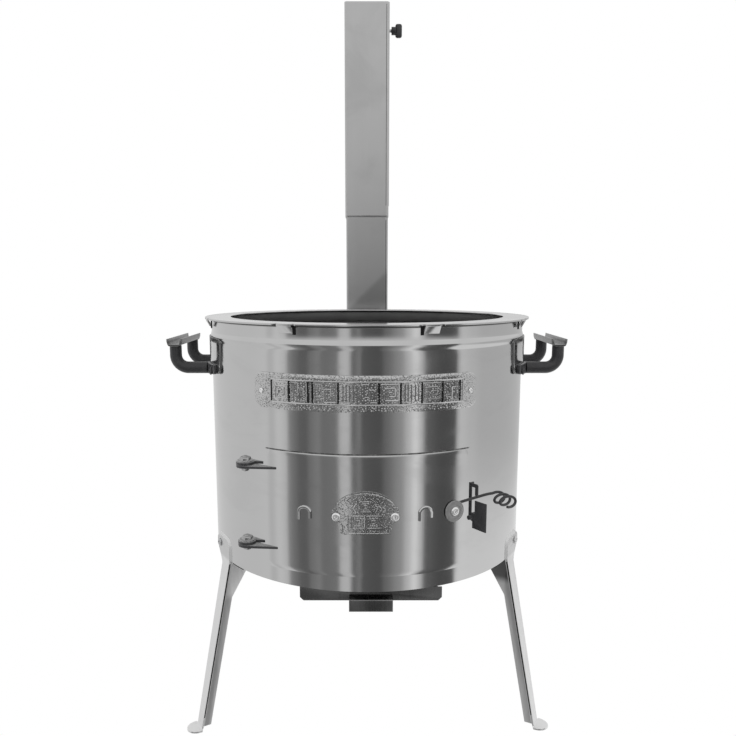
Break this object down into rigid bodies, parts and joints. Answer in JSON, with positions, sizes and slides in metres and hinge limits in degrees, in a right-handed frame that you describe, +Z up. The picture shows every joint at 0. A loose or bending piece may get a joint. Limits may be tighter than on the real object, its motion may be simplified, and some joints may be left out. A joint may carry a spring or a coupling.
{
  "type": "kazan stove",
  "caption": "Round steel firebox on splayed legs with a lift-off ring for a kazan, a latched door, an ash drawer, carrying handles and a square flue with a damper.",
  "frame": {"origin": "on the floor, under the middle of the bounding box; the firebox's own vertical axis is at x 0, y -0.0411 m", "axes": "+Z up, the door and ash drawer face -Y, the chimney stands behind at +Y, the latch is on the +X side of the door"},
  "size_m": [0.5004, 0.4976, 0.9734],
  "materials": {
    "stainless_steel": "bright rolled stainless sheet",
    "brushed_tube": "finely brushed stainless sheet",
    "drawer_steel": "dull stainless sheet",
    "black_metal": "satin black heat-proof paint",
    "grate_iron": "raw cast iron",
    "zinc_fastener": "zinc-plated steel"
  },
  "bodies": {
    "stove": {"body_shell": "stainless_steel", "bottom_plate": "stainless_steel", "left_drawer_rail": "stainless_steel", "right_drawer_rail": "stainless_steel", "flue_box": "brushed_tube", "latch_catch": "black_metal", "name_plate": "stainless_steel", "name_rivet_left": "zinc_fastener", "name_rivet_right": "zinc_fastener", "upper_body_lug": "black_metal", "upper_hinge_bolt": "zinc_fastener", "upper_hinge_nut": "zinc_fastener", "lower_body_lug": "black_metal", "lower_hinge_bolt": "zinc_fastener", "lower_hinge_nut": "zinc_fastener", "left_handle_plate": "stainless_steel", "left_handle_front_arm": "black_metal", "left_handle_rear_arm": "black_metal", "left_handle_grip": "stainless_steel", "left_handle_front_rivet": "zinc_fastener", "left_handle_rear_rivet": "zinc_fastener", "right_handle_plate": "stainless_steel", "right_handle_front_arm": "black_metal", "right_handle_rear_arm": "black_metal", "right_handle_grip": "stainless_steel", "right_handle_front_rivet": "zinc_fastener", "right_handle_rear_rivet": "zinc_fastener", "left_leg": "stainless_steel", "left_leg_bolt": "zinc_fastener", "right_leg": "stainless_steel", "right_leg_bolt": "zinc_fastener", "rear_leg": "stainless_steel", "rear_leg_bolt": "zinc_fastener"},
    "door": {"door_panel": "stainless_steel", "upper_door_lug": "black_metal", "lower_door_lug": "black_metal", "emblem_plate": "stainless_steel", "emblem_rivet_left": "zinc_fastener", "emblem_rivet_right": "zinc_fastener", "latch_bushing": "zinc_fastener", "latch_disc": "zinc_fastener", "latch_rivet": "zinc_fastener"},
    "latch": {"latch_lever": "black_metal"},
    "ring": {"support_ring": "stainless_steel"},
    "grate": {"fire_grate": "grate_iron"},
    "drawer": {"ash_drawer": "drawer_steel"},
    "flue_lower": {"chimney_lower": "brushed_tube"},
    "flue_upper": {"chimney_upper": "brushed_tube"},
    "damper": {"damper_plate": "stainless_steel", "damper_shaft": "stainless_steel", "damper_knob": "black_metal", "damper_nut": "zinc_fastener"}
  },
  "joints": [
    {"name": "door_swing", "type": "hinge", "parent": "stove", "child": "door", "pos_m": [-0.1368, -0.20325, 0.3], "axis": [0, 0, -1], "range_deg": [0, 125]},
    {"name": "latch_turn", "type": "hinge", "parent": "door", "child": "latch", "pos_m": [0.09577, -0.22117, 0.3025], "axis": [-0.4695, 0.8829, 0], "range_deg": [-14, 32]},
    {"name": "ring_lift", "type": "slide", "parent": "stove", "child": "ring", "axis": [0, 0, 1], "range_m": [0, 0.06]},
    {"name": "grate_lift", "type": "slide", "parent": "stove", "child": "grate", "axis": [0, 0, 1], "range_m": [0, 0.06]},
    {"name": "drawer_slide", "type": "slide", "parent": "stove", "child": "drawer", "axis": [0, -1, 0], "range_m": [0, 0.21]},
    {"name": "flue_lower_lift", "type": "slide", "parent": "stove", "child": "flue_lower", "axis": [0, 0, 1], "range_m": [0, 0.045]},
    {"name": "flue_upper_lift", "type": "slide", "parent": "flue_lower", "child": "flue_upper", "axis": [0, 0, 1], "range_m": [0, 0.045]},
    {"name": "damper_turn", "type": "hinge", "parent": "flue_upper", "child": "damper", "pos_m": [0, 0.21375, 0.9417], "axis": [1, 0, 0], "range_deg": [0, 90]}
  ]
}
